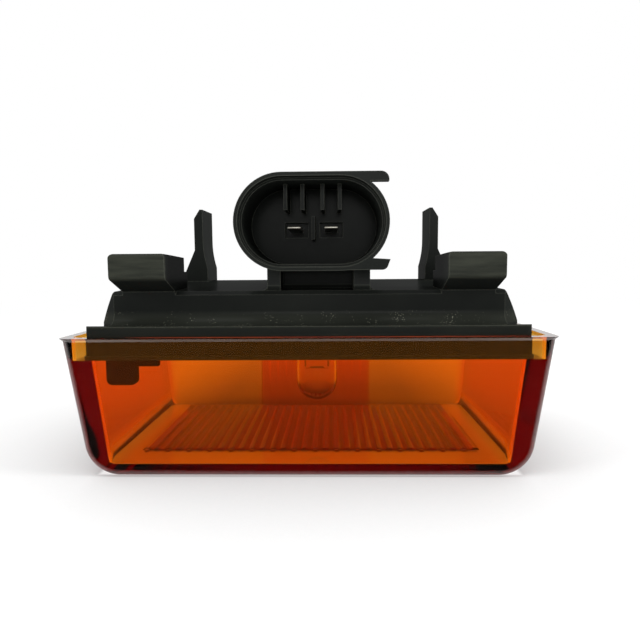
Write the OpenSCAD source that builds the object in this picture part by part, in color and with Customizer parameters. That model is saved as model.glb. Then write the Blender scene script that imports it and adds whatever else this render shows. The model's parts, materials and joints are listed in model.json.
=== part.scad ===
// Marker lamp: an amber tray lens closed by a black back housing, which carries
// two fixed hooks, two spring prongs, a two-pole plug socket and a wedge bulb.
// The origin is the centre of the lens face and +Z runs towards the back.
// X is the long side, and the plug socket opens towards -Y.

/* [Lens] */
// Length over the rim lip
lens_l = 101.8; // [101:0.2:103]
// Width over the rim lip
lens_w = 62; // [61.6:0.2:63]
// Height from the face to the rim
lens_h = 29.6; // [29.2:0.1:30]
// Overhang of the rim lip past the walls
lip = 0.5; // [0.3:0.1:0.8]
// Draft of the two end walls, in degrees
end_draft = 7.8; // [7:0.2:8.6]
// Draft of the two long walls, in degrees
side_draft = 3.2; // [2.4:0.2:4]
// Draft of the end walls inside, in degrees
core_draft = 5.8; // [5:0.2:7]
// Radius between the end walls and the face, in the front view
foot_r = 7.4; // [6:0.2:8]
// Radius of the edges round the two long walls
edge_r = 1.8; // [1.2:0.1:2.2]
// Radius of the upright corners inside
core_r = 2; // [1:0.2:2.6]
// Thickness of the face
face_t = 2.3; // [2:0.1:2.6]
// Thickness of the two long walls
side_t = 2.8; // [2.4:0.1:3]
// Thickness of the two end walls at the ledge
end_t = 4.4; // [4:0.1:4.8]
// Height of the ledge that the seal lies on
ledge_z = 24.9; // [24.5:0.1:25.2]
// Spacing of the flutes on the inside of the face
flute_pitch = 2.4; // [2:0.1:3]
// Height of the flutes
flute_h = 0.5; // [0.3:0.1:0.8]
// Width of the fluted panel inside the far wall
panel_w = 32; // [28:1:36]

/* [Back housing] */
// Length of the plug that nests in the lens rim
plug_l = 92.8; // [92:0.2:93.4]
// Width of the plug
plug_w = 56.2; // [55.6:0.2:56.6]
// Height of the ridges along the plug's long edges, which the panel lies on
plug_z = 31.7; // [31.4:0.1:32]
// Height of the plug's back face between and beside the ridges
plate_z = 30.4; // [30:0.1:30.8]
// Length of the tub at its foot
tub_l = 92.2; // [91.6:0.2:92.4]
// Width of the tub
tub_w = 44; // [43:0.5:45]
// Height of the tub's back along its near edge
tub_near_z = 38.7; // [38.4:0.1:39]
// Height of the tub's back along its far edge
tub_far_z = 39.9; // [39.4:0.1:40.4]
// General wall thickness
wall = 2.2; // [1.8:0.1:2.4]

/* [Hooks and prongs] */
// Distance from the middle to the inner side of a hook
hook_x = 28.6; // [27:0.2:29]
// Width of a hook
hook_w = 11.5; // [10:0.5:12]
// Height of a hook's head
hook_top = 46.7; // [45:0.1:47.5]
// Reach of a hook's head in front of the tub
hook_reach = 7.5; // [6:0.5:8]
// Distance between the inner sides of the prongs
prong_gap = 62.8; // [61:0.2:63.6]
// Thickness of a prong's blade
prong_t = 2.4; // [2:0.1:3]
// Depth of a prong
prong_depth = 12.8; // [11:0.2:14]
// Height of a prong's tip
prong_top = 59.6; // [56:0.2:62]

/* [Plug socket] */
// Sideways place of the socket, its neck and the bulb
socket_x = 1.2; // [0:0.1:1.6]
// Height of the socket's middle
socket_z = 52.7; // [52:0.1:53.4]
// Width of the socket's oval shroud
shroud_w = 30.9; // [30:0.1:32]
// Height of the shroud
shroud_h = 19.3; // [19:0.1:20]
// Thickness of the shroud
shroud_t = 1.3; // [1.1:0.1:1.5]
// Depth of the socket from mouth to floor
socket_depth = 17; // [15:0.5:18]
// Width of a contact blade
blade_w = 2.8; // [2.4:0.1:3]
// Thickness of a contact blade
blade_t = 0.8; // [0.6:0.1:1]
// Spacing of the two blades
blade_pitch = 7.8; // [7.2:0.1:8.2]

/* [Bulb] */
// Diameter of the bulb's glass
bulb_d = 10.3; // [9.6:0.1:10.5]
// Height of the bulb's tip over the lens face
bulb_tip_z = 10; // [9:0.5:12]

/* [Hidden] */
$fn = 64;

lens_half_l = lens_l / 2 - lip;
lens_half_w = lens_w / 2 - lip;
rebate_l = plug_l + 5;
rebate_w = plug_w + 1.2;
rebate_r = 2;
seal_t = 0.8;
skirt_z = ledge_z + seal_t;
skirt_t = 2.4;
prong_mid = 0.7;
mouth_y = -lens_w / 2;
neck_left = -8.9;
neck_right = 13.5;
neck_front = -20;
neck_back = 7;
socket_floor_y = mouth_y + socket_depth;
blade_z = 52;
blade_tip_y = -23.5;
wedge_w = 9;
wedge_t = 2.4;
wedge_top = 35.8;
wedge_z = 27;
wire_d = 0.4;
lead_x = 2.9;
filament_z = 18.5;

// Half length or half width of the lens at a height, outside and inside
function outer_l(z) = lens_half_l - (lens_h - z) * tan(end_draft);
function outer_w(z) = lens_half_w - (lens_h - z) * tan(side_draft);
function inner_l(z) = outer_l(ledge_z) - end_t - (ledge_z - z) * tan(core_draft);
function inner_w(z) = outer_w(z) - side_t;

// Points of an arc about a centre, from one angle to another
function arc(centre, r, from, to, steps = 6) =
    [for (i = [0 : steps]) let (a = from + (to - from) * i / steps)
        centre + r * [cos(a), sin(a)]];

// Rectangle with round corners, built from true circles
module round_rect(l, w, r) {
    square([l - 2 * r, w], center = true);
    square([l, w - 2 * r], center = true);
    for (x = [-1, 1], y = [-1, 1])
        translate([x * (l / 2 - r), y * (w / 2 - r)]) circle(r);
}

module round_slab(l, w, r, z0, z1) {
    translate([0, 0, z0]) linear_extrude(z1 - z0) round_rect(l, w, r);
}

// Outside of the tray: a ring in each corner of the two leaning long walls gives
// the round foot, and discs at the rim give the upright edges
module tray() {
    ring_r = foot_r - edge_r;
    foot_z = edge_r + ring_r * cos(side_draft);
    foot_x = outer_l(foot_z) - foot_r / cos(end_draft);
    foot_y = outer_w(foot_z) - edge_r / cos(side_draft);
    flat_y = foot_y - ring_r * sin(side_draft);
    rim_x = lens_half_l - edge_r;
    rim_y = lens_half_w - edge_r;
    hull() {
        // The flat of the face that the lamp lies on
        translate([-foot_x, -flat_y, 0]) cube([2 * foot_x, 2 * flat_y, edge_r]);
        for (x = [-1, 1], y = [-1, 1]) {
            translate([x * foot_x, y * foot_y, foot_z]) rotate([90 - y * side_draft, 0, 0])
                rotate_extrude($fn = 40) translate([ring_r, 0]) circle(edge_r, $fn = 24);
            translate([x * rim_x, y * rim_y, lens_h - 0.01])
                cylinder(h = 0.01, r = edge_r, $fn = 32);
        }
    }
}

// Inside of the tray, with a small chamfer round its floor
module core() {
    chamfer = 0.5;
    top = ledge_z + 1;
    hull() {
        round_slab(2 * (inner_l(face_t) - chamfer), 2 * (inner_w(face_t) - chamfer), core_r,
                   face_t, face_t + 0.01, $fn = 32);
        round_slab(2 * inner_l(face_t + chamfer), 2 * inner_w(face_t + chamfer), core_r,
                   face_t + chamfer, face_t + chamfer + 0.01, $fn = 32);
        round_slab(2 * inner_l(top), 2 * inner_w(top), core_r, top - 0.01, top, $fn = 32);
    }
}

// Round-topped ribs side by side, as a flat outline from 0 to their height
module flute_outline(count, pitch, height) {
    rib_r = (pitch * pitch / 4 + height * height) / (2 * height);
    intersection() {
        union() for (i = [0 : count - 1])
            translate([(i - (count - 1) / 2) * pitch, height - rib_r]) circle(rib_r);
        translate([-count * pitch / 2, -0.4]) square([count * pitch, height + 1]);
    }
}

module face_flutes() {
    count = 32;
    front = -17;
    back = 23;
    // Every second rib runs on a little at the front, as small teeth
    tooth_l = 1.2;
    tooth_w = 0.9;
    translate([0, back, face_t]) rotate([90, 0, 0])
        linear_extrude(back - front) flute_outline(count, flute_pitch, flute_h);
    for (i = [0 : 2 : count - 1])
        translate([(i - (count - 1) / 2) * flute_pitch, front, face_t - 0.2])
            linear_extrude(flute_h) square([tooth_w, 2 * tooth_l], center = true);
}

// Thick panel with upright flutes inside the far wall, level with the bulb
module far_panel() {
    count = floor(panel_w / flute_pitch);
    proud = 2.4;
    below = 0.8;
    translate([0, inner_w(face_t) - proud, face_t - 0.2])
        rotate([-side_draft, 0, 0])
            linear_extrude(ledge_z - face_t - below)
                union() {
                    translate([-panel_w / 2, 0]) square([panel_w, proud + 1]);
                    rotate(180) flute_outline(count, flute_pitch, flute_h);
                }
}

// Thin lip round the rim, chamfered underneath
module rim_lip() {
    lip_r = edge_r + lip;
    inset = 0.2;
    lip_t = 0.9;
    edge_t = 0.15;
    hull() {
        round_slab(lens_l, lens_w, lip_r, lens_h - edge_t, lens_h, $fn = 32);
        round_slab(2 * (lens_half_l - inset), 2 * (lens_half_w - inset), lip_r,
                   lens_h - lip_t, lens_h, $fn = 32);
    }
}

module lens() color("#e05a08") union() {
    difference() {
        union() {
            tray();
            rim_lip();
        }
        core();
        round_slab(rebate_l, rebate_w, rebate_r, ledge_z, lens_h + 1);
    }
    face_flutes();
    far_panel();
}

module lens_seal() color("#2b2b2d") difference() {
    round_slab(plug_l + 0.6, plug_w + 0.4, rebate_r, ledge_z, skirt_z);
    round_slab(plug_l - 2.6, plug_w - 1.8, 1.6, ledge_z - 1, skirt_z + 1);
}

// Front view of the tub's outline, with a leaning shoulder at each end, nearly
// straight and a little convex
module tub_end_outline(half_l) {
    shoulder_r = 45;
    low = 24;
    high = 40;
    centre = [half_l - shoulder_r * cos(low), plug_z - shoulder_r * sin(low)];
    shoulder = arc(centre, shoulder_r, low, high);
    polygon(concat([[half_l, skirt_z]], shoulder,
                   [for (i = [len(shoulder) - 1 : -1 : 0]) [-shoulder[i][0], shoulder[i][1]]],
                   [[-half_l, skirt_z]]));
}

// Side view of the tub, with its back sloping up towards the far edge
module tub_side_outline(half_w, near_z, far_z) {
    edge = 0.8;
    polygon([[-half_w, skirt_z], [half_w, skirt_z], [half_w, far_z - edge],
             [half_w - edge, far_z], [-half_w + edge, near_z], [-half_w, near_z - edge]]);
}

// The tub's corners are cut at 45 degrees in plan
module tub(l, w, corner, near_z, far_z) {
    x = l / 2;
    y = w / 2;
    intersection() {
        translate([0, 0, skirt_z]) linear_extrude(far_z - skirt_z + 2)
            polygon([[corner - x, -y], [x - corner, -y], [x, corner - y], [x, y - corner],
                     [x - corner, y], [corner - x, y], [-x, y - corner], [-x, corner - y]]);
        translate([0, w, 0]) rotate([90, 0, 0]) linear_extrude(2 * w) tub_end_outline(x);
        rotate([90, 0, 90]) translate([0, 0, -l])
            linear_extrude(2 * l) tub_side_outline(y, near_z, far_z);
    }
}

// Shelf along each long wall of the tub, out to the plug's edge, with a concave
// cove where it meets the wall
module shelves(length) {
    cove_r = 2.7;
    wall_y = tub_w / 2;
    edge_y = plug_w / 2;
    rotate([90, 0, 90]) translate([0, 0, -length / 2]) linear_extrude(length)
        for (side = [0, 1]) mirror([side, 0])
            polygon(concat([[wall_y - 0.4, plate_z - 1], [edge_y, plate_z - 1], [edge_y, plug_z]],
                           arc([wall_y + cove_r, plug_z + cove_r], cove_r, 270, 180, 10),
                           [[wall_y - 0.4, plug_z + cove_r]]));
}

// Plug that nests in the lens rim, with a ridge along each long edge
module plug() {
    ridge_t = 1.8;
    round_slab(plug_l, plug_w, rebate_r, skirt_z, plate_z);
    intersection() {
        round_slab(plug_l, plug_w, rebate_r, skirt_z, plug_z);
        for (side = [-1, 1])
            translate([-plug_l / 2, side * (plug_w - ridge_t) / 2 - ridge_t / 2, skirt_z])
                cube([plug_l, ridge_t, plug_z - skirt_z]);
    }
}

// One hook: a post on the near wall whose head reaches out over the panel edge
module hook() {
    wall_y = -tub_w / 2;
    front_y = wall_y - hook_reach;
    head_z = tub_near_z + 2.9;
    head_back_y = -14;
    arm_z = head_z + 1.2;
    arm_back_y = -11.5;
    edge_r = 0.9;
    corner_r = 0.9;
    // Angle of the head's underside
    under = atan2(head_z - tub_near_z, hook_reach);
    chin_z = head_z + edge_r * tan((90 - under) / 2);
    root_z = plug_z - 1;
    intersection() {
        rotate([90, 0, 90]) linear_extrude(hook_w)
            polygon(concat([[wall_y, root_z], [wall_y, tub_near_z]],
                           arc([front_y + edge_r, chin_z], edge_r, 270 - under, 180),
                           arc([front_y + edge_r, hook_top - edge_r], edge_r, 180, 90),
                           [[head_back_y, hook_top - 0.7], [head_back_y, arm_z],
                            [arm_back_y, arm_z], [arm_back_y, tub_near_z - 2],
                            [wall_y + wall, root_z]]));
        // Front view of the hook, with the head's upper corners rounded
        rotate([90, 0, 0]) linear_extrude(-2 * front_y)
            translate([hook_w / 2, root_z]) round_rect(hook_w, 2 * (hook_top - root_z), corner_r);
    }
}

// One spring prong at the far side: its front view, extruded in depth
module prong() {
    root_z = plug_z - 1;
    // The inner side curves in towards the root
    flare = 1.1;
    flare_z = 51;
    flare_low = 43.5;
    flare_r = (pow(flare_z - flare_low, 2) + flare * flare) / (2 * flare);
    flare_end = asin((flare_z - flare_low) / flare_r);
    gusset = 2.6;
    gusset_low = 42.6;
    gusset_high = 48.4;
    tip_w = 0.8;
    tip_h = 2.5;
    rotate([90, 0, 0]) linear_extrude(prong_depth)
        polygon(concat([[-flare, root_z], [prong_t + gusset, root_z],
                        [prong_t + gusset, gusset_low], [prong_t, gusset_high],
                        [prong_t, prong_top - tip_h], [tip_w, prong_top], [0, prong_top]],
                       arc([-flare_r, flare_z], flare_r, 0, -flare_end)));
}

module stadium(w, h) {
    for (x = [-1, 1]) translate([x * (w - h) / 2, 0]) circle(h / 2);
    square([w - h, h], center = true);
}

// Extrudes an outline in the XZ plane from y0 to y1, about the socket's axis
module along_socket(y0, y1) {
    translate([socket_x, y1, socket_z]) rotate([90, 0, 0]) linear_extrude(y1 - y0) children();
}

// Latch fins on the right side of the shroud's mouth, in its front view
module fins() {
    depth = 2;
    start = 6;
    top = shroud_h / 2;
    fin_t = 1.9;
    reach = 15.3;
    nose_r = 1.6;
    // The lower fin is thicker, and its tip slants back to a rounded corner
    low_t = 2.2;
    low_reach = 15.6;
    low_r = 1.2;
    along_socket(mouth_y, mouth_y + depth) {
        polygon(concat([[start, top - fin_t], [reach, top - fin_t]],
                       arc([reach - nose_r, top - nose_r], nose_r, 0, 90), [[start, top]]));
        polygon(concat([[start, 0.1 - top]],
                       arc([low_reach - low_r - 0.4, low_r + 0.1 - top], low_r, 270, 350),
                       [[low_reach, low_t - top], [start, low_t + 0.6 - top]]));
    }
}

// Side view of the neck that carries the shroud, from its front to the back elbow
module neck_outline(front) {
    shoulder = 5;
    top = socket_z + 4;
    foot = 1.2;
    polygon([[front - foot, tub_near_z - 1], [front, tub_near_z + foot],
             [front, socket_z], [socket_floor_y, socket_z], [socket_floor_y, top],
             [neck_back - shoulder, top], [neck_back, top - shoulder],
             [neck_back, tub_far_z + foot], [neck_back + foot, tub_far_z - 1]]);
}

// The neck is solid at the back, and its two side walls run further to the front
module neck() {
    left_wall = 2.9;
    right_wall = 3.6;
    recess = 6;
    translate([neck_left, 0, 0]) rotate([90, 0, 90]) {
        linear_extrude(left_wall) neck_outline(neck_front);
        linear_extrude(neck_right - neck_left) neck_outline(neck_front + recess);
    }
    translate([neck_right - right_wall, 0, 0]) rotate([90, 0, 90])
        linear_extrude(right_wall) neck_outline(neck_front);
}

// Oval hollow of the socket, with a shallow step just inside its mouth and a
// pocket round the root of each blade
module socket_hollow() {
    step_y = mouth_y + 2.5;
    pocket_w = 5.2;
    pocket_h = 3.4;
    along_socket(mouth_y - 1, socket_floor_y)
        stadium(shroud_w - 2 * shroud_t, shroud_h - 2 * shroud_t);
    along_socket(mouth_y - 1, step_y)
        stadium(shroud_w - 1.2 * shroud_t, shroud_h - 1.2 * shroud_t);
    for (side = [-1, 1])
        translate([socket_x + side * blade_pitch / 2 - pocket_w / 2, socket_floor_y - 1,
                   blade_z - pocket_h / 2])
            cube([pocket_w, 3, pocket_h]);
}

// Guide ribs over the two blades and the web between them
module socket_ribs() {
    rib = 0.8;
    rib_low = 3;
    rib_depth = 9;
    channel_w = 3.6;
    web_h = 5;
    web_depth = 5;
    for (side = [-1, 1], edge = [-1, 1])
        along_socket(socket_floor_y - rib_depth, socket_floor_y + 1)
            translate([side * blade_pitch / 2 + edge * channel_w / 2 - rib / 2, rib_low])
                square([rib, shroud_h / 2 - shroud_t + 0.4 - rib_low]);
    along_socket(socket_floor_y - web_depth, socket_floor_y + 1)
        translate([-rib / 2, 2 - web_h]) square([rib, web_h]);
}

// Strip of one contact as a side view: blade, bend and the fork round the wedge
module contact_outline() {
    leaf = wedge_t / 2;
    down_y = -leaf - blade_t;
    bend_r = 1.6;
    fork_bottom = wedge_z + 1.2;
    bend_y = down_y - (bend_r - blade_t);
    translate([blade_tip_y + 1, blade_z - blade_t / 2])
        square([bend_y - blade_tip_y - 1, blade_t]);
    // The blade's tip is bevelled for lead-in
    polygon([[blade_tip_y + 1, blade_z - blade_t / 2], [blade_tip_y + 1, blade_z + blade_t / 2],
             [blade_tip_y, blade_z + 0.15], [blade_tip_y, blade_z - 0.15]]);
    intersection() {
        translate([bend_y, blade_z + blade_t / 2 - bend_r]) difference() {
            circle(bend_r);
            circle(bend_r - blade_t);
        }
        translate([bend_y, blade_z + blade_t / 2 - bend_r]) square(bend_r);
    }
    translate([down_y, fork_bottom])
        square([blade_t, blade_z + blade_t / 2 - bend_r - fork_bottom]);
    translate([down_y, wedge_top]) square([2 * (leaf + blade_t), blade_t]);
    translate([leaf, fork_bottom]) square([blade_t, wedge_top + blade_t - fork_bottom]);
}

module contact(side) color("#c9a44a") {
    translate([socket_x + side * blade_pitch / 2 - blade_w / 2, 0, 0])
        rotate([90, 0, 90]) linear_extrude(blade_w) contact_outline();
}

// Inside of the neck: a shaft for the strips, open to the tub
module neck_hollow() {
    shaft_w = blade_pitch + blade_w + 1.6;
    shaft_front = -4.6;
    shaft_back = 3;
    foot_z = tub_near_z - 4;
    translate([socket_x - shaft_w / 2, shaft_front, foot_z])
        cube([shaft_w, shaft_back - shaft_front, blade_z + 2 - foot_z]);
    // Slots that grip the blades between the shaft and the socket
    for (side = [-1, 1])
        translate([socket_x + side * blade_pitch / 2 - blade_w / 2, socket_floor_y - 1,
                   blade_z - blade_t / 2])
            cube([blade_w, shaft_front - socket_floor_y + 2, blade_t]);
}

// Bulb socket inside the tub: a sleeve round the contact forks
module bulb_socket() {
    sleeve_l = 16;
    sleeve_w = 9;
    sleeve_z = 29.5;
    translate([socket_x, 0, 0]) difference() {
        round_slab(sleeve_l, sleeve_w, 2, sleeve_z, tub_near_z);
        round_slab(sleeve_l - 2.8, sleeve_w - 2.8, 1, sleeve_z - 1, tub_near_z + 1);
    }
}

// Locating peg under the near wall of the plug, beside the left corner, with a
// lower web beside it
module peg() {
    peg_x = -42.4;
    peg_y = -25.9;
    peg_w = 6.4;
    peg_t = 1.6;
    peg_z = 19.3;
    web_w = 4.6;
    web_z = 23.3;
    top = plate_z - wall + 0.2;
    translate([peg_x, peg_y, peg_z]) cube([peg_w, peg_t, top - peg_z]);
    translate([peg_x, peg_y, web_z]) cube([peg_w + web_w, peg_t, top - web_z]);
}

module housing() color("#222423") {
    tub_corner = 4;
    difference() {
        union() {
            plug();
            tub(tub_l, tub_w, tub_corner, tub_near_z, tub_far_z);
            shelves(tub_l - 2 * tub_corner);
            translate([hook_x, 0, 0]) hook();
            translate([-hook_x - hook_w, 0, 0]) hook();
            translate([prong_mid, plug_w / 2 - 0.1, 0]) {
                translate([prong_gap / 2, 0, 0]) prong();
                mirror([1, 0, 0]) translate([prong_gap / 2, 0, 0]) prong();
            }
            along_socket(mouth_y, neck_back - 6) stadium(shroud_w, shroud_h);
            fins();
            neck();
        }
        // Plug and tub are hollow and open towards the lens
        round_slab(plug_l - 2 * skirt_t, plug_w - 2 * skirt_t, 1.2, skirt_z - 1,
                   plate_z - wall);
        tub(tub_l - 2 * wall, tub_w - 2 * wall, tub_corner - 1, tub_near_z - wall,
            tub_far_z - wall);
        socket_hollow();
        neck_hollow();
    }
    socket_ribs();
    bulb_socket();
    peg();
}

// Wire of one bulb lead: up through the pinch, over its end and down its side
module lead_wire(side) {
    x = socket_x + side * lead_x;
    fold_y = side * (wedge_t / 2 - wire_d / 2);
    fold_z = 30;
    top_z = wedge_top - wire_d / 2;
    translate([x, 0, filament_z]) cylinder(h = top_z - filament_z, d = wire_d, $fn = 24);
    translate([x, min(0, fold_y), top_z]) rotate([-90, 0, 0])
        cylinder(h = abs(fold_y), d = wire_d, $fn = 24);
    translate([x, fold_y, fold_z]) cylinder(h = top_z - fold_z, d = wire_d, $fn = 24);
    for (y = [0, fold_y]) translate([x, y, top_z]) sphere(d = wire_d, $fn = 24);
}

module bulb_lead(side) color("#b0b0b0") lead_wire(side);

module bulb_glass() color("#dfe8e8", 0.4) {
    r = bulb_d / 2;
    glass_t = 0.6;
    difference() {
        translate([socket_x, 0, 0]) union() {
            difference() {
                union() {
                    translate([0, 0, bulb_tip_z + r]) sphere(r);
                    translate([0, 0, bulb_tip_z + r])
                        cylinder(h = wedge_z - bulb_tip_z - r - 2, r = r);
                    translate([0, 0, wedge_z - 2]) cylinder(h = 2, r1 = r, r2 = wedge_w / 2);
                }
                translate([0, 0, bulb_tip_z + r]) sphere(r - glass_t);
                translate([0, 0, bulb_tip_z + r])
                    cylinder(h = wedge_z - bulb_tip_z - r - 3, r = r - glass_t);
            }
            // Flattened pinch that plugs into the contact forks
            translate([-wedge_w / 2, -wedge_t / 2, wedge_z - 0.5])
                cube([wedge_w, wedge_t, wedge_top - wedge_z + 0.5]);
        }
        for (side = [-1, 1]) lead_wire(side);
    }
}

module bulb_filament() color("#8a8a8a") {
    translate([socket_x - lead_x, 0, filament_z - wire_d / 2]) rotate([0, 90, 0])
        cylinder(h = 2 * lead_x, d = wire_d, $fn = 24);
}

lens();
lens_seal();
housing();
contact(-1);  // contact_left
contact(1);  // contact_right
bulb_glass();
bulb_lead(-1);  // bulb_lead_left
bulb_lead(1);  // bulb_lead_right
bulb_filament();
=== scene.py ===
import json
import math

import bmesh
import bpy
from mathutils import Matrix, Vector

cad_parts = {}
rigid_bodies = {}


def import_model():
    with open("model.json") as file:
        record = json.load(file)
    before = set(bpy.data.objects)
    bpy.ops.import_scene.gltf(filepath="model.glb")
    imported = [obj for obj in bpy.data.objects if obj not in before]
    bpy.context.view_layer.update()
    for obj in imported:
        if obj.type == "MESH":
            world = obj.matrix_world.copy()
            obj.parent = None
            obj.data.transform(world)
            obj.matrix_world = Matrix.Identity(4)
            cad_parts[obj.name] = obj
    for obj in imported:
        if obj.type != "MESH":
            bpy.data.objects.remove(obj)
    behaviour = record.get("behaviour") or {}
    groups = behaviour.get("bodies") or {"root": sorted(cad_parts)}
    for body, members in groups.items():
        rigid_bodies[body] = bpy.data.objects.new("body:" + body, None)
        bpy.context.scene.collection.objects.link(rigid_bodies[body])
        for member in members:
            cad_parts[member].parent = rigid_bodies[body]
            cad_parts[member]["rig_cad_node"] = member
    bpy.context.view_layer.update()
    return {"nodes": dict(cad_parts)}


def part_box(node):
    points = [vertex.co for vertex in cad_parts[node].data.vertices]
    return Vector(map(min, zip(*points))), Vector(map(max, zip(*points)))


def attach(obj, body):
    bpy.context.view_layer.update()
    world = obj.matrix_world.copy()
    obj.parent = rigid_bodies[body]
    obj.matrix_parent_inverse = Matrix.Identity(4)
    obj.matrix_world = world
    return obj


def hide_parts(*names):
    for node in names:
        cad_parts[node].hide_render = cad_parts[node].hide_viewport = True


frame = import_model()
mm = 0.001
spare = 1.0  # mm by which a block reaches past the face that it cuts or joins
smoothAngle = 30  # degrees between faces that still read as one curve
flatAngle = 0.05  # degrees under which two faces of a hull become one
largeFaceWeight = 80  # how far the large faces set the smoothed normals, where 50 is even
print("frame loaded with", len(frame["nodes"]), "nodes")


# Selection and editing

def deselectAll():
    if bpy.context.object and bpy.context.object.mode != "OBJECT":
        bpy.ops.object.mode_set(mode="OBJECT")
    bpy.ops.object.select_all(action="DESELECT")


def makeActive(piece):
    deselectAll()
    piece.select_set(True)
    bpy.context.view_layer.objects.active = piece


def named(name):
    piece = bpy.context.object
    piece.name = name
    piece.data.name = name
    return piece


# Leaves edit mode on, with everything selected, for the operator that follows
def editAll(piece):
    makeActive(piece)
    bpy.ops.object.mode_set(mode="EDIT")
    bpy.ops.mesh.select_all(action="SELECT")


# The same with the edges that a test of their two ends, in mm, accepts
def editEdges(piece, test):
    makeActive(piece)
    bpy.ops.object.mode_set(mode="EDIT")
    bpy.ops.mesh.select_mode(type="EDGE")
    bpy.ops.mesh.select_all(action="DESELECT")
    editMesh = bmesh.from_edit_mesh(piece.data)
    for edge in editMesh.edges:
        edge.select_set(test(*[vertex.co / mm for vertex in edge.verts]))
    bmesh.update_edit_mesh(piece.data)


def backToObject():
    bpy.ops.object.mode_set(mode="OBJECT")


def joined(name, parts):
    deselectAll()
    for part in parts:
        part.select_set(True)
    bpy.context.view_layer.objects.active = parts[0]
    bpy.ops.object.join()
    return named(name)


def applyModifier(piece, kind, **settings):
    makeActive(piece)
    modifier = piece.modifiers.new(kind.lower(), kind)
    for key, value in settings.items():
        setattr(modifier, key, value)
    bpy.ops.object.modifier_apply(modifier=modifier.name)


def combine(piece, other, operation):
    applyModifier(piece, "BOOLEAN", operation=operation, object=other, solver="EXACT", use_self=True)
    bpy.data.objects.remove(other)


# Puts a piece's place into its mesh, so that its object sits at the origin
def settle(piece):
    makeActive(piece)
    bpy.ops.object.transform_apply(location=True, rotation=True, scale=True)


def smoothFaces(piece, angle):
    makeActive(piece)
    bpy.ops.object.shade_smooth_by_angle(angle=math.radians(angle), keep_sharp_edges=False)
    applyModifier(piece, "WEIGHTED_NORMAL", mode="FACE_AREA", keep_sharp=True, weight=largeFaceWeight)


# A block between two corners, in mm, with its upright edges rounded
def uprightBlock(name, low, high, radius=0, segments=8):
    deselectAll()
    size = Vector(high) - Vector(low)
    middle = (Vector(high) + Vector(low)) / 2
    bpy.ops.mesh.primitive_cube_add(size=1, location=middle * mm)
    block = named(name)
    block.scale = size * mm
    settle(block)
    if radius > 0:
        editEdges(block, lambda start, end: abs(start.z - end.z) > size.z / 2)
        bpy.ops.mesh.bevel(offset=radius * mm, segments=segments, offset_type="OFFSET")
        backToObject()
    return block


# The tight skin round several parts, with its flat stretches as single faces
def hullOf(name, parts):
    hull = joined(name, parts)
    settle(hull)
    editAll(hull)
    bpy.ops.mesh.convex_hull(use_existing_faces=False, join_triangles=False)
    bpy.ops.mesh.select_all(action="SELECT")
    bpy.ops.mesh.dissolve_limited(angle_limit=math.radians(flatAngle))
    backToObject()
    return hull


# Camera, read off the photograph's perspective

cameraSettings = {
    "place": (5.33, -144.1, 44.42),  # mm
    "yaw": 1.29, "pitch": 5.64, "roll": 0.42,  # degrees
    "lens": 32.02, "sensor": 36,  # mm
    "nearest": 0.005,  # metres
}


def addCamera():
    s = cameraSettings
    deselectAll()
    bpy.ops.object.camera_add(location=Vector(s["place"]) * mm)
    camera = bpy.context.object
    camera.name = "camera"
    turn = (Matrix.Rotation(math.radians(s["yaw"]), 3, "Z")
            @ Matrix.Rotation(math.radians(90 - s["pitch"]), 3, "X")
            @ Matrix.Rotation(math.radians(-s["roll"]), 3, "Z"))
    camera.rotation_euler = turn.to_euler()
    camera.data.lens = s["lens"]
    camera.data.sensor_width = s["sensor"]
    camera.data.clip_start = s["nearest"]
    bpy.context.scene.camera = camera


addCamera()
print("camera placed")


# Materials

def linearColour(code):
    parts = [int(code[i:i + 2], 16) / 255 for i in (1, 3, 5)]
    parts = [p / 12.92 if p <= 0.04045 else ((p + 0.055) / 1.055) ** 2.4 for p in parts]
    return (*parts, 1.0)


# Adds one node with its settings and inputs, each a plain value or another node's output, and returns
# one of its outputs, or the node itself where it has none
def addNode(tree, kind, inputs=None, output=0, **settings):
    node = tree.nodes.new("ShaderNode" + kind)
    for key, value in settings.items():
        setattr(node, key, value)
    for key, value in (inputs or {}).items():
        if isinstance(value, bpy.types.NodeSocket):
            tree.links.new(value, node.inputs[key])
        else:
            node.inputs[key].default_value = value
    return node.outputs[output] if len(node.outputs) else node


def newMaterial(name):
    material = bpy.data.materials.new(name)
    material.use_nodes = True
    tree = material.node_tree
    tree.nodes.clear()
    output = addNode(tree, "OutputMaterial")
    place = addNode(tree, "TexCoord", output="Object")
    return material, tree, output, place


# Clear amber PMMA, injection moulded in a polished tool. The eye gets orange through one wall,
# deep red along a wall, and a faint ripple on the faces.
amberAcrylic = {
    "surface": "#eeeeee",
    # Painted reflection: the tints below dim the reflection seen straight on and lift it above the physical
    # on the faces that turn away
    "paintedDimReflection": "#665550",  # tint of the reflection seen straight on
    "glanceFrom": 0.15, "glanceTo": 0.4,  # how far a face turns away before it mirrors in full
    "paintedBrightReflection": (2.8, 2.5, 2.4, 1),  # the bright room beside the lamp, in the faces that turn away
    "colour": "#fcde3d",
    "density": 1300.0,  # absorption per metre of what the colour leaves out
    "ior": 1.49,
    "roughness": 0.03,
    "ripple": 3.0, "rippleDepth": 0.004,  # mm
}


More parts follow.
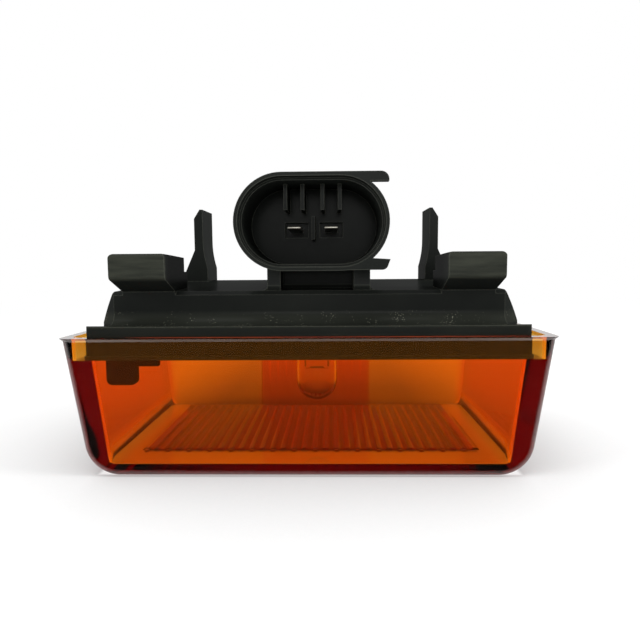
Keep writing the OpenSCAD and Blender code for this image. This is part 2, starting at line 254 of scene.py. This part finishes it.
def makeAmberAcrylic(s):
    material, tree, output, place = newMaterial("amber_acrylic")
    ripple = addNode(tree, "TexNoise", {"Vector": place, "Scale": 1 / (s["ripple"] * mm), "Detail": 2.0})
    bump = addNode(tree, "Bump", {"Height": ripple, "Distance": s["rippleDepth"] * mm, "Strength": 1.0})
    # Painted reflection: dim straight on, brighter than the physical at a glancing angle, and plain inside
    # the wall
    facing = addNode(tree, "LayerWeight", {"Blend": 0.5}, "Facing")
    glancing = addNode(tree, "MapRange", {
        "Value": facing, "From Min": s["glanceFrom"], "From Max": s["glanceTo"]})
    paintedReflectionTint = addNode(tree, "Mix", {
        "Factor": glancing, "A": linearColour(s["paintedDimReflection"]), "B": s["paintedBrightReflection"]}, "Result", data_type="RGBA")
    within = addNode(tree, "NewGeometry", output="Backfacing")
    tint = addNode(tree, "Mix", {
        "Factor": within, "A": paintedReflectionTint, "B": (1, 1, 1, 1)}, "Result", data_type="RGBA")
    shader = addNode(tree, "BsdfPrincipled", {
        "Base Color": linearColour(s["surface"]), "Specular Tint": tint, "Roughness": s["roughness"],
        "IOR": s["ior"], "Transmission Weight": 1.0, "Normal": bump})
    absorb = addNode(tree, "VolumeAbsorption", {
        "Color": linearColour(s["colour"]), "Density": s["density"]})
    tree.links.new(shader, output.inputs["Surface"])
    tree.links.new(absorb, output.inputs["Volume"])
    return material


# Black glass-filled nylon, injection moulded. Dark with a slightly green grey sheen, a fine spark
# grain, painted highlights on the hook heads and the edges, and pale dust with painted light where the plate
# meets the tub.
blackNylon = {
    "colour": "#161817", "rubbed": "#1f211e",
    "roughness": 0.68, "roughnessSpread": 0.12,
    "specular": 0.0, "ior": 1.53, "coat": 0.05, "coatRoughness": 0.22,
    "grain": 0.25, "grainDepth": 0.002,  # mm
    "cloud": 9.0,  # mm across a rubbed patch
    # Painted highlight on the hook heads, which are painted paler where the light falls on them
    "paintedLightAndHaze": "#353730",
    "headFront": (-28.0, -29.2), "headSide": (24.0, 26.0),  # mm: where the paler part sets in
    "scuff": 0.9, "scuffLength": 0.12, "scuffFrom": 0.3, "scuffTo": 0.7, "scuffLeast": 0.35,
    # Painted highlight on the edges, found by how far the rounded normal leaves the true one
    "edge": "#5d5f56", "edgeShare": 0.5,
    "edgeReach": 0.3, "edgeFrom": 0.98, "edgeTo": 0.85,  # mm, then the cosines
    # The dust, in a band at the foot of the tub's walls: specks in clumps, over a film of dust haze with
    # painted light on the lit foot
    "hazeAndPaintedLight": 0.4,
    "dust": "#8c8c7c",
    "dustFrom": (31.2, 31.7), "dustTo": (34.6, 33.1),  # mm in height
    "speck": 0.45, "speckEdge": 0.24, "speckCore": 0.16,  # mm apart, then shares of that
    "clump": 4.0, "clumpFrom": 0.52, "clumpTo": 0.66,
}


def makeBlackNylon(s):
    material, tree, output, place = newMaterial("black_nylon")
    split = addNode(tree, "SeparateXYZ", {0: place}).node.outputs
    cloud = addNode(tree, "TexNoise", {"Vector": place, "Scale": 1 / (s["cloud"] * mm), "Detail": 4.0})
    grain = addNode(tree, "TexNoise", {"Vector": place, "Scale": 1 / (s["grain"] * mm), "Detail": 2.0})
    bump = addNode(tree, "Bump", {"Height": grain, "Distance": s["grainDepth"] * mm, "Strength": 1.0})
    rough = addNode(tree, "MapRange", {
        "Value": cloud, "To Min": s["roughness"] - s["roughnessSpread"],
        "To Max": s["roughness"] + s["roughnessSpread"]})
    # Painted highlight on the heads: in front of the tub and to the side of the socket, streaked along them
    along = addNode(tree, "Mapping", {"Vector": place, "Scale": (s["scuffLength"], 1.0, 1.0)})
    scuffs = addNode(tree, "TexNoise", {"Vector": along, "Scale": 1 / (s["scuff"] * mm), "Detail": 3.0})
    paintedHeadLight = addNode(tree, "MapRange", {
        "Value": scuffs, "From Min": s["scuffFrom"], "From Max": s["scuffTo"], "To Min": s["scuffLeast"]})
    width = addNode(tree, "Math", {0: split["X"]}, operation="ABSOLUTE")
    for value, (start, end) in ((split["Y"], s["headFront"]), (width, s["headSide"])):
        part = addNode(tree, "MapRange", {"Value": value, "From Min": start * mm, "From Max": end * mm})
        paintedHeadLight = addNode(tree, "Math", {0: paintedHeadLight, 1: part}, operation="MULTIPLY")
    # Dust: small spots, only inside clumps and only in the band, over a film that fills the band and is dust
    # haze with painted light
    speck = addNode(tree, "TexVoronoi", {"Vector": place, "Scale": 1 / (s["speck"] * mm)})
    spot = addNode(tree, "MapRange", {
        "Value": speck, "From Min": s["speckEdge"], "From Max": s["speckCore"]})
    clump = addNode(tree, "TexNoise", {"Vector": place, "Scale": 1 / (s["clump"] * mm), "Detail": 3.0})
    gathered = addNode(tree, "MapRange", {
        "Value": clump, "From Min": s["clumpFrom"], "From Max": s["clumpTo"]})
    dust = addNode(tree, "Math", {0: spot, 1: gathered}, operation="MULTIPLY")
    dustAndPaintedLightFilm = s["hazeAndPaintedLight"]
    for start, end in (s["dustFrom"], s["dustTo"]):
        band = addNode(tree, "MapRange", {
            "Value": split["Z"], "From Min": start * mm, "From Max": end * mm})
        dust = addNode(tree, "Math", {0: dust, 1: band}, operation="MULTIPLY")
        dustAndPaintedLightFilm = addNode(tree, "Math", {0: dustAndPaintedLightFilm, 1: band}, operation="MULTIPLY")
    # Edges: painted highlight
    rounded = addNode(tree, "Bevel", {"Radius": s["edgeReach"] * mm}, samples=4)
    trueNormal = addNode(tree, "NewGeometry", output="True Normal")
    cosine = addNode(tree, "VectorMath", {0: rounded, 1: trueNormal}, "Value", operation="DOT_PRODUCT")
    edge = addNode(tree, "MapRange", {
        "Value": cosine, "From Min": s["edgeFrom"], "From Max": s["edgeTo"], "To Max": s["edgeShare"]})
    paint = linearColour(s["colour"])
    # Over the plain colour: random paler patches, painted highlight on the heads, the film's haze with
    # painted light, painted highlight on the edges, and the dust
    for colour, share in (("rubbed", cloud), ("paintedLightAndHaze", paintedHeadLight), ("paintedLightAndHaze", dustAndPaintedLightFilm), ("edge", edge),
                          ("dust", dust)):
        paint = addNode(tree, "Mix", {
            "Factor": share, "A": paint, "B": linearColour(s[colour])}, "Result", data_type="RGBA")
    shader = addNode(tree, "BsdfPrincipled", {
        "Base Color": paint, "Roughness": rough, "IOR": s["ior"], "Specular IOR Level": s["specular"],
        "Coat Weight": s["coat"], "Coat Roughness": s["coatRoughness"], "Normal": bump})
    tree.links.new(shader, output.inputs["Surface"])
    return material


# Tin-plated brass strip, stamped. Dull silver with fine drawn lines.
tinnedBrass = {
    "colour": "#97948a",
    "roughness": 0.34, "roughnessSpread": 0.08,
    "lines": 0.15, "lineLength": 0.05,  # mm between lines, and how much slower they change along the strip
}


def makeTinnedBrass(s):
    material, tree, output, place = newMaterial("tinned_brass")
    stretch = addNode(tree, "Mapping", {"Vector": place, "Scale": (1.0, s["lineLength"], s["lineLength"])})
    lines = addNode(tree, "TexNoise", {"Vector": stretch, "Scale": 1 / (s["lines"] * mm), "Detail": 1.0})
    rough = addNode(tree, "MapRange", {
        "Value": lines, "To Min": s["roughness"] - s["roughnessSpread"],
        "To Max": s["roughness"] + s["roughnessSpread"]})
    shader = addNode(tree, "BsdfPrincipled", {
        "Base Color": linearColour(s["colour"]), "Metallic": 1.0, "Roughness": rough})
    tree.links.new(shader, output.inputs["Surface"])
    return material


# Soda-lime glass of the bulb, blown and pinched: clear, with a very slight ripple.
sodaGlass = {"ior": 1.5, "roughness": 0.02, "ripple": 2.5, "rippleDepth": 0.003}  # the last two in mm


def makeSodaGlass(s):
    material, tree, output, place = newMaterial("bulb_soda_glass")
    ripple = addNode(tree, "TexNoise", {"Vector": place, "Scale": 1 / (s["ripple"] * mm), "Detail": 1.0})
    bump = addNode(tree, "Bump", {"Height": ripple, "Distance": s["rippleDepth"] * mm, "Strength": 1.0})
    shader = addNode(tree, "BsdfPrincipled", {
        "Base Color": (1, 1, 1, 1), "Roughness": s["roughness"], "IOR": s["ior"],
        "Transmission Weight": 1.0, "Normal": bump})
    tree.links.new(shader, output.inputs["Surface"])
    return material


# Drawn nickel-iron wire of the bulb, dull grey with a little scale along its length.
drawnWire = {"colour": "#8f8c86", "roughness": 0.35, "roughnessSpread": 0.1, "scale": 0.4}  # scale in mm


def makeDrawnWire(s):
    material, tree, output, place = newMaterial("drawn_wire")
    patches = addNode(tree, "TexNoise", {"Vector": place, "Scale": 1 / (s["scale"] * mm), "Detail": 2.0})
    rough = addNode(tree, "MapRange", {
        "Value": patches, "To Min": s["roughness"] - s["roughnessSpread"],
        "To Max": s["roughness"] + s["roughnessSpread"]})
    shader = addNode(tree, "BsdfPrincipled", {
        "Base Color": linearColour(s["colour"]), "Metallic": 1.0, "Roughness": rough})
    tree.links.new(shader, output.inputs["Surface"])
    return material


# Closed-cell EPDM foam strip, cut: matt black with fine cells.
foamRubber = {"colour": "#1a1a1b", "roughness": 0.9, "cell": 0.4, "cellDepth": 0.03, "cellStrength": 0.8}


def makeFoamRubber(s):
    material, tree, output, place = newMaterial("foam_rubber")
    cells = addNode(tree, "TexVoronoi", {"Vector": place, "Scale": 1 / (s["cell"] * mm)})
    bump = addNode(tree, "Bump", {
        "Height": cells, "Distance": s["cellDepth"] * mm, "Strength": s["cellStrength"]})
    shader = addNode(tree, "BsdfPrincipled", {
        "Base Color": linearColour(s["colour"]), "Roughness": s["roughness"], "Normal": bump})
    tree.links.new(shader, output.inputs["Surface"])
    return material


materials = {
    "amber": makeAmberAcrylic(amberAcrylic),
    "black": makeBlackNylon(blackNylon),
    "contact": makeTinnedBrass(tinnedBrass),
    "glass": makeSodaGlass(sodaGlass),
    "wire": makeDrawnWire(drawnWire),
    "seal": makeFoamRubber(foamRubber),
}
print("materials made:", ", ".join(materials))


def dress(piece, material):
    piece.data.materials.clear()
    piece.data.materials.append(materials[material])
    if "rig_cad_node" not in piece:
        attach(piece, "root")


# Lens: one drafted tray, cut hollow, with its lip, rebate, flutes and thick far panel. Sizes in mm.

lensForm = {
    "lip": 0.5, "lipEdge": 0.15, "lipDepth": 0.9, "lipInset": 0.2,
    "endDraft": 7.8, "sideDraft": 3.2, "coreDraft": 5.8,  # degrees
    "footRadius": 7.4, "edgeRadius": 1.8, "coreRadius": 2.0, "coreChamfer": 0.2,
    "faceThick": 2.3, "sideThick": 2.8, "endThick": 4.4, "ledge": 24.9,
    "rebateLength": 97.8, "rebateWidth": 57.4, "rebateCorner": 2.0,
    "discSides": 64, "ringSides": 128, "ringTubeSides": 48, "ribSides": 128,
}
# The ribs sink into the wall that carries them. Every second one ends in a tooth.
faceFlutes = {
    "count": 32, "pitch": 2.4, "height": 0.5, "sink": 0.4, "front": -17.0, "back": 23.0,
    "tooth": 1.2, "toothWide": 0.9, "toothLow": 0.2, "toothSink": 0.3,
    "toothRadius": 0.3, "toothSegments": 3,
}
farPanel = {"width": 32.0, "proud": 2.4, "below": 0.8, "sink": 0.2}

lensLow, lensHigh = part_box("lens")
lensLength = (lensHigh.x - lensLow.x) / mm
lensWidth = (lensHigh.y - lensLow.y) / mm
lensHeight = lensHigh.z / mm


def tangent(degrees):
    return math.tan(math.radians(degrees))


# Half length and half width at a height, outside and inside
def outerLength(height):
    return lensLength / 2 - lensForm["lip"] - (lensHeight - height) * tangent(lensForm["endDraft"])


def outerWidth(height):
    return lensWidth / 2 - lensForm["lip"] - (lensHeight - height) * tangent(lensForm["sideDraft"])


def innerLength(height):
    s = lensForm
    return outerLength(s["ledge"]) - s["endThick"] - (s["ledge"] - height) * tangent(s["coreDraft"])


def innerWidth(height):
    return outerWidth(height) - lensForm["sideThick"]


# Four flat discs at the corners of a rectangle
def cornerDiscs(halfLength, halfWidth, radius, height):
    discs = []
    for x in (-1, 1):
        for y in (-1, 1):
            deselectAll()
            place = Vector((x * (halfLength - radius), y * (halfWidth - radius), height))
            bpy.ops.mesh.primitive_circle_add(
                vertices=lensForm["discSides"], radius=radius * mm, fill_type="NGON", location=place * mm)
            discs.append(bpy.context.object)
    return discs


# A ring in each corner of the two leaning long walls gives the round foot
def makeTray():
    s = lensForm
    lean = math.radians(s["sideDraft"])
    ringRadius = s["footRadius"] - s["edgeRadius"]
    ringHeight = s["edgeRadius"] + ringRadius * math.cos(lean)
    footX = outerLength(ringHeight) - s["footRadius"] / math.cos(math.radians(s["endDraft"]))
    footY = outerWidth(ringHeight) - s["edgeRadius"] / math.cos(lean)
    deselectAll()
    bpy.ops.mesh.primitive_plane_add(size=2 * mm)
    flat = bpy.context.object
    flat.scale = (footX, footY - ringRadius * math.sin(lean), 1)
    settle(flat)
    rim = cornerDiscs(outerLength(lensHeight), outerWidth(lensHeight), s["edgeRadius"], lensHeight)
    parts = [flat] + rim
    for x in (-1, 1):
        for y in (-1, 1):
            deselectAll()
            bpy.ops.mesh.primitive_torus_add(
                major_segments=s["ringSides"], minor_segments=s["ringTubeSides"],
                major_radius=ringRadius * mm, minor_radius=s["edgeRadius"] * mm,
                location=Vector((x * footX, y * footY, ringHeight)) * mm,
                rotation=(math.pi / 2 - y * lean, 0, 0))
            parts.append(bpy.context.object)
    return hullOf("amberLens", parts)


def makeRimLip():
    s = lensForm
    parts = []
    for down, inset in ((0, 0), (s["lipEdge"], 0), (s["lipDepth"], s["lip"] + s["lipInset"])):
        parts += cornerDiscs(lensLength / 2 - inset, lensWidth / 2 - inset, s["edgeRadius"] + s["lip"],
                             lensHeight - down)
    return hullOf("rimLip", parts)


def makeCore():
    s = lensForm
    floor, chamfer = s["faceThick"], s["coreChamfer"]
    parts = []
    for height, inset in ((floor, chamfer), (floor + chamfer, 0), (s["ledge"] + spare, 0)):
        parts += cornerDiscs(innerLength(height) - inset, innerWidth(height) - inset, s["coreRadius"], height)
    return hullOf("core", parts)


def makeRebate():
    s = lensForm
    halfL, halfW = s["rebateLength"] / 2, s["rebateWidth"] / 2
    return uprightBlock("rebate", (-halfL, -halfW, s["ledge"]), (halfL, halfW, lensHeight + spare),
                        s["rebateCorner"])


# One rib is the cap of a cylinder along Y, then an array sets the others beside it
def makeRibs(name, count, low, high):
    pitch, height = faceFlutes["pitch"], faceFlutes["height"]
    ribRadius = (pitch * pitch / 4 + height * height) / (2 * height)
    deselectAll()
    bpy.ops.mesh.primitive_cylinder_add(
        vertices=lensForm["ribSides"], radius=ribRadius * mm, depth=(high - low) * mm,
        location=Vector((-(count - 1) / 2 * pitch, (low + high) / 2, height - ribRadius)) * mm,
        rotation=(math.radians(90), 0, 0))
    ribs = named(name)
    settle(ribs)
    editAll(ribs)
    bpy.ops.mesh.bisect(plane_co=(0, 0, -faceFlutes["sink"] * mm), plane_no=(0, 0, 1), clear_inner=True,
                        use_fill=True)
    backToObject()
    applyModifier(ribs, "ARRAY", count=count, use_relative_offset=False, use_constant_offset=True,
                  constant_offset_displace=(pitch * mm, 0, 0))
    return ribs


def makeFaceRibs():
    f = faceFlutes
    ribs = makeRibs("faceRibs", f["count"], f["front"], f["back"])
    ribs.location.z = lensForm["faceThick"] * mm
    settle(ribs)
    return ribs


def makeTeeth():
    f = faceFlutes
    floor, half = lensForm["faceThick"], f["toothWide"] / 2
    teeth = []
    for i in range(0, f["count"], 2):
        x = (i - (f["count"] - 1) / 2) * f["pitch"]
        low = (x - half, f["front"] - f["tooth"], floor - f["toothSink"])
        high = (x + half, f["front"] + f["tooth"], floor + f["height"] - f["toothLow"])
        teeth.append(uprightBlock("tooth", low, high, f["toothRadius"], f["toothSegments"]))
    return joined("teeth", teeth)


# The panel's ribs are made along Y and stood up, with their round side to the cavity
def makeFarPanel():
    s, p = lensForm, farPanel
    half = p["width"] / 2
    tall = s["ledge"] - s["faceThick"] - p["below"]
    panel = uprightBlock("farPanel", (-half, 0, 0), (half, p["proud"] + spare, tall))
    upright = makeRibs("panelRibs", math.floor(p["width"] / faceFlutes["pitch"]), 0, tall)
    upright.rotation_euler.x = math.radians(90)
    settle(upright)
    combine(panel, upright, "UNION")
    panel.rotation_euler.x = math.radians(-s["sideDraft"])
    panel.location = Vector((0, innerWidth(s["faceThick"]) - p["proud"], s["faceThick"] - p["sink"])) * mm
    settle(panel)
    return panel


def makeLens():
    lens = makeTray()
    combine(lens, makeRimLip(), "UNION")
    combine(lens, makeCore(), "DIFFERENCE")
    combine(lens, makeRebate(), "DIFFERENCE")
    print("lens tray cut")
    combine(lens, makeFaceRibs(), "UNION")
    combine(lens, makeTeeth(), "UNION")
    print("face flutes added")
    combine(lens, makeFarPanel(), "UNION")
    print("far panel added")
    smoothFaces(lens, smoothAngle)
    dress(lens, "amber")
    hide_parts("lens")


makeLens()
print("lens finished")


# Housing and contacts: each keeps its own form and gets the small radii that its tool leaves on the edges

edgeRadii = {
    "housing": {"radius": 0.3, "segments": 2, "sharp": 32},
    "contact": {"radius": 0.12, "segments": 2, "sharp": 40},
    "merge": 0.002, "flat": 0.5,  # mm and degrees, to make whole faces of the copy's loose triangles
}
housingFinish = {
    "neck": (-8.9, 13.5), "neckDepth": (-19.9, 7.0),
    "filletRadius": 1.1, "filletSink": (0.3, 0.8), "filletSides": 48,
    "tubNear": -22.0, "tubTop": 38.7, "tubSlope": 1.62,  # near top edge, and degrees of rise behind it
    "pegFoot": 19.3, "pegRadius": 1.2, "pegSegments": 8,
    "pegNear": 0.02, "pegLeast": 1.0,  # mm an edge may lie off the foot, and mm it has to run
}


# Concave fillets where the neck's two sides stand on the tub's sloping back
def filletNeck(housing):
    s = housingFinish
    radius, (near, far), (sinkSide, sinkDown) = s["filletRadius"], s["neckDepth"], s["filletSink"]
    for x, side in zip(s["neck"], (-1, 1)):
        ends = sorted((x - side * sinkSide, x + side * radius))
        fillet = uprightBlock("fillet", (ends[0], near, -sinkDown), (ends[1], far, radius))
        deselectAll()
        bpy.ops.mesh.primitive_cylinder_add(
            vertices=s["filletSides"], radius=radius * mm, depth=(far - near + 4 * spare) * mm,
            location=Vector((x + side * radius, (near + far) / 2, radius)) * mm,
            rotation=(math.pi / 2, 0, 0))
        hollow = bpy.context.object
        settle(hollow)
        combine(fillet, hollow, "DIFFERENCE")
        fillet.rotation_euler.x = math.radians(s["tubSlope"])
        fillet.location.z = (s["tubTop"] - s["tubNear"] * tangent(s["tubSlope"])) * mm
        settle(fillet)
        combine(housing, fillet, "UNION")


# The locating peg's two lower corners: the edges at its foot that run along Y
def roundPeg(housing):
    s = housingFinish

    def atFoot(start, end):
        level = all(abs(point.z - s["pegFoot"]) < s["pegNear"] for point in (start, end))
        return level and abs(start.y - end.y) > s["pegLeast"]

    editEdges(housing, atFoot)
    bpy.ops.mesh.bevel(offset=s["pegRadius"] * mm, segments=s["pegSegments"])
    backToObject()


def roundedCopy(node, name, edges, *shapers):
    piece = bpy.data.objects.new(name, frame["nodes"][node].data.copy())
    bpy.context.scene.collection.objects.link(piece)
    makeActive(piece)
    bpy.ops.mesh.customdata_custom_splitnormals_clear()
    editAll(piece)
    bpy.ops.mesh.remove_doubles(threshold=edgeRadii["merge"] * mm)
    bpy.ops.mesh.dissolve_limited(angle_limit=math.radians(edgeRadii["flat"]))
    backToObject()
    for shape in shapers:
        shape(piece)
    applyModifier(piece, "BEVEL", width=edges["radius"] * mm, segments=edges["segments"],
                  limit_method="ANGLE", angle_limit=math.radians(edges["sharp"]), use_clamp_overlap=True,
                  harden_normals=False)
    smoothFaces(piece, smoothAngle)
    return piece


def makeHousing():
    housing = roundedCopy("housing", "backHousing", edgeRadii["housing"], roundPeg, filletNeck)
    dress(housing, "black")
    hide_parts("housing")


def makeContacts():
    for node, name in (("contact_left", "contactLeft"), ("contact_right", "contactRight")):
        contact = roundedCopy(node, name, edgeRadii["contact"])
        dress(contact, "contact")
        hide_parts(node)


makeHousing()
print("housing finished")
makeContacts()
print("contacts finished")


# Filament: a coiled wire between the two leads, with a straight tail at each end. Sizes in mm.

filamentForm = {
    "wire": 0.12, "coil": 0.5, "turns": 16, "pitch": 0.22,
    "wireSides": 8, "turnSteps": 16, "tailSides": 12, "tailOverlap": 0.2,
    "smooth": 50,  # degrees, more than the 45 between the wire's sides
}


def makeFilament():
    s = filamentForm
    low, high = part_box("bulb_filament")
    middle = (low + high) / 2
    wireRadius, coilRadius = s["wire"] / 2 * mm, s["coil"] / 2 * mm
    half = s["turns"] * s["pitch"] / 2 * mm
    deselectAll()
    bpy.ops.mesh.primitive_circle_add(
        vertices=s["wireSides"], radius=wireRadius, location=(coilRadius, 0, 0),
        rotation=(math.radians(90), 0, 0))
    coil = named("filamentCoil")
    settle(coil)
    applyModifier(coil, "SCREW", angle=math.tau, screw_offset=s["pitch"] * mm, iterations=s["turns"],
                  steps=s["turnSteps"], render_steps=s["turnSteps"], use_merge_vertices=False)
    coil.rotation_euler.y = math.radians(90)
    coil.location = middle - Vector((half, 0, 0))
    settle(coil)
    parts = [coil]
    # The tails leave the coil at the radius of its wire
    reach = (high.x - low.x) / 2
    for side in (-1, 1):
        deselectAll()
        bpy.ops.mesh.primitive_cylinder_add(
            vertices=s["tailSides"], radius=wireRadius, depth=reach - half + s["tailOverlap"] * mm,
            location=middle + Vector((side * (reach + half) / 2, 0, -coilRadius)),
            rotation=(0, math.radians(90), 0))
        parts.append(bpy.context.object)
    filament = joined("filamentCoil", parts)
    settle(filament)
    editAll(filament)
    bpy.ops.mesh.fill_holes(sides=s["wireSides"])
    bpy.ops.mesh.normals_make_consistent(inside=False)
    backToObject()
    smoothFaces(filament, s["smooth"])
    dress(filament, "wire")
    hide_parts("bulb_filament")


makeFilament()
print("filament coiled")


# The pieces that keep their own solids

for node, material, slotName in (
        ("lens_seal", "seal", "seal_rubber"),
        ("bulb_glass", "glass", "bulb_glass"),
        ("bulb_lead_left", "wire", "bulb_wire"),
        ("bulb_lead_right", "wire", "bulb_wire")):
    dress(frame["nodes"][node], material)
print("inner pieces dressed")


# Studio: a pale floor, a white world for what the camera, gloss and glass see, and soft lamps

studio = {
    "worldLight": 0.3,  # for the rays that only carry light
    "floorSize": 6.0, "floorDrop": 0.05,  # metres, and mm below the lens
    "floorGrey": 0.32, "floorGlow": 0.78,  # as it is seen near the lamp
    "floorBounce": 0.8,  # its grey for the rays that only carry light
    "fadeFrom": 0.15, "fadeTo": 0.6,  # metres from the lamp, where the floor turns plain white
    # Painted contact shadow: the floor's glow is dimmed by occlusion near the lamp
    "shadeReach": 0.06,  # metres over which the lamp dims the floor beside it
    "shadeSamples": 16,
    # Painted shade under the lens: what is left of the floor's light under the clear margin of the face
    # and under its flutes, and the metres in which it changes
    "underClear": 0.9, "underFlutes": 0.0, "underFall": 0.002,
    # The lamp's own shadow behind it, painted on the floor, from its dark to its light side in mm
    "behind": 0.8, "behindSide": (30, 60), "behindFar": (60, 190), "behindNear": (34, 24),
}
# name, place, aim, size and power: metres and watts
lamps = (
    ("topSoftbox", (-0.10, -0.18, 0.75), (0, 0, 0.03), (0.5, 0.4), 1.8),
    ("rightSoftbox", (0.75, -0.15, 0.35), (0, 0, 0.04), (0.25, 0.4), 6.0),
    ("leftSoftbox", (-0.70, -0.35, 0.30), (0, 0, 0.04), (0.3, 0.4), 4.0),
    ("frontSoftbox", (0.05, -0.90, 0.22), (0, 0, 0.04), (0.4, 0.3), 2.0),
)


# 1 for the rays that see the background, 0 for those that only carry light
def backgroundRays(tree):
    path = addNode(tree, "LightPath").node.outputs
    seen = path["Is Camera Ray"]
    for ray in ("Is Glossy Ray", "Is Transmission Ray"):
        seen = addNode(tree, "Math", {0: seen, 1: path[ray]}, operation="MAXIMUM")
    return seen


def makeWorld():
    world = bpy.data.worlds.new("whiteStudio")
    world.use_nodes = True
    tree = world.node_tree
    tree.nodes.clear()
    soft = addNode(tree, "Background", {"Color": (1, 1, 1, 1), "Strength": studio["worldLight"]})
    white = addNode(tree, "Background", {"Color": (1, 1, 1, 1), "Strength": 1.0})
    mix = addNode(tree, "MixShader", {0: backgroundRays(tree), 1: soft, 2: white})
    addNode(tree, "OutputWorld", {"Surface": mix})
    bpy.context.scene.world = world


# How much of the floor's light is left at a place, with painted shade under, beside and behind the lamp
def floorLight(tree, place):
    s = studio
    split = addNode(tree, "SeparateXYZ", {0: place}).node.outputs
    width = addNode(tree, "Math", {0: split["X"]}, operation="ABSOLUTE")
    depth = addNode(tree, "Math", {0: split["Y"]}, operation="ABSOLUTE")
    # How far the place lies inside the fluted part of the face, and inside the whole face
    fluteHalf = faceFlutes["count"] * faceFlutes["pitch"] / 2
    fluteX = addNode(tree, "Math", {0: fluteHalf * mm, 1: width}, operation="SUBTRACT")
    fluteY = addNode(tree, "Math", {0: split["Y"], 1: faceFlutes["front"] * mm}, operation="SUBTRACT")
    inFlutes = addNode(tree, "Math", {0: fluteX, 1: fluteY}, operation="MINIMUM")
    faceX = addNode(tree, "Math", {0: outerLength(0) * mm, 1: width}, operation="SUBTRACT")
    faceY = addNode(tree, "Math", {0: outerWidth(0) * mm, 1: depth}, operation="SUBTRACT")
    inFace = addNode(tree, "Math", {0: faceX, 1: faceY}, operation="MINIMUM")
    under = addNode(tree, "MapRange", {
        "Value": inFlutes, "From Max": s["underFall"], "To Min": s["underClear"],
        "To Max": s["underFlutes"]})
    covered = addNode(tree, "MapRange", {"Value": inFace, "From Max": s["underFall"]})
    through = addNode(tree, "Math", {0: under, 1: covered}, operation="MULTIPLY")
    beside = addNode(tree, "AmbientOcclusion", {"Distance": s["shadeReach"]}, "AO", samples=s["shadeSamples"])
    lit = addNode(tree, "Math", {0: through, 1: beside}, operation="MAXIMUM")
    shadow = s["behind"]
    for value, (dark, light) in (
            (width, s["behindSide"]), (split["Y"], s["behindFar"]), (split["Y"], s["behindNear"])):
        part = addNode(tree, "MapRange", {"Value": value, "From Min": light * mm, "From Max": dark * mm})
        shadow = addNode(tree, "Math", {0: shadow, 1: part}, operation="MULTIPLY")
    left = addNode(tree, "Math", {0: 1.0, 1: shadow}, operation="SUBTRACT")
    return addNode(tree, "Math", {0: lit, 1: left}, operation="MULTIPLY")


def makeFloor():
    s = studio
    deselectAll()
    bpy.ops.mesh.primitive_plane_add(size=s["floorSize"], location=(0, 0, -s["floorDrop"] * mm))
    floor = named("paleFloor")
    settle(floor)
    material, tree, output, place = newMaterial("pale_floor")
    distance = addNode(tree, "VectorMath", {0: place}, "Value", operation="LENGTH")
    far = addNode(tree, "MapRange", {
        "Value": distance, "From Min": s["fadeFrom"], "From Max": s["fadeTo"]},
        interpolation_type="SMOOTHSTEP")
    nearGlow = addNode(tree, "Math", {0: floorLight(tree, place), 1: s["floorGlow"]}, operation="MULTIPLY")
    # A float Mix node has its inputs by number: factor 0, first value 2, second value 3
    strength = addNode(tree, "Mix", {0: far, 2: nearGlow, 3: 1.0}, data_type="FLOAT")
    plain = addNode(tree, "BsdfDiffuse", {"Color": (*[s["floorBounce"]] * 3, 1)})
    shade = addNode(tree, "BsdfDiffuse", {"Color": (*[s["floorGrey"]] * 3, 1)})
    near = addNode(tree, "MixShader", {0: far, 1: shade})
    glow = addNode(tree, "Emission", {"Strength": strength})
    seen = addNode(tree, "AddShader", {0: near, 1: glow})
    mix = addNode(tree, "MixShader", {0: backgroundRays(tree), 1: plain, 2: seen})
    tree.links.new(mix, output.inputs["Surface"])
    floor.data.materials.append(material)


def addLamps():
    for name, place, aim, size, power in lamps:
        deselectAll()
        bpy.ops.object.light_add(type="AREA", location=place)
        lamp = bpy.context.object
        lamp.name = name
        lamp.data.shape = "RECTANGLE"
        lamp.data.size, lamp.data.size_y = size
        lamp.data.energy = power
        lamp.visible_transmission = False  # only the world and the floor are seen through the lens
        lamp.rotation_euler = (Vector(aim) - Vector(place)).to_track_quat("-Z", "Y").to_euler()


makeWorld()
makeFloor()
addLamps()
bpy.context.scene.view_settings.view_transform = "Standard"
print("studio lit")
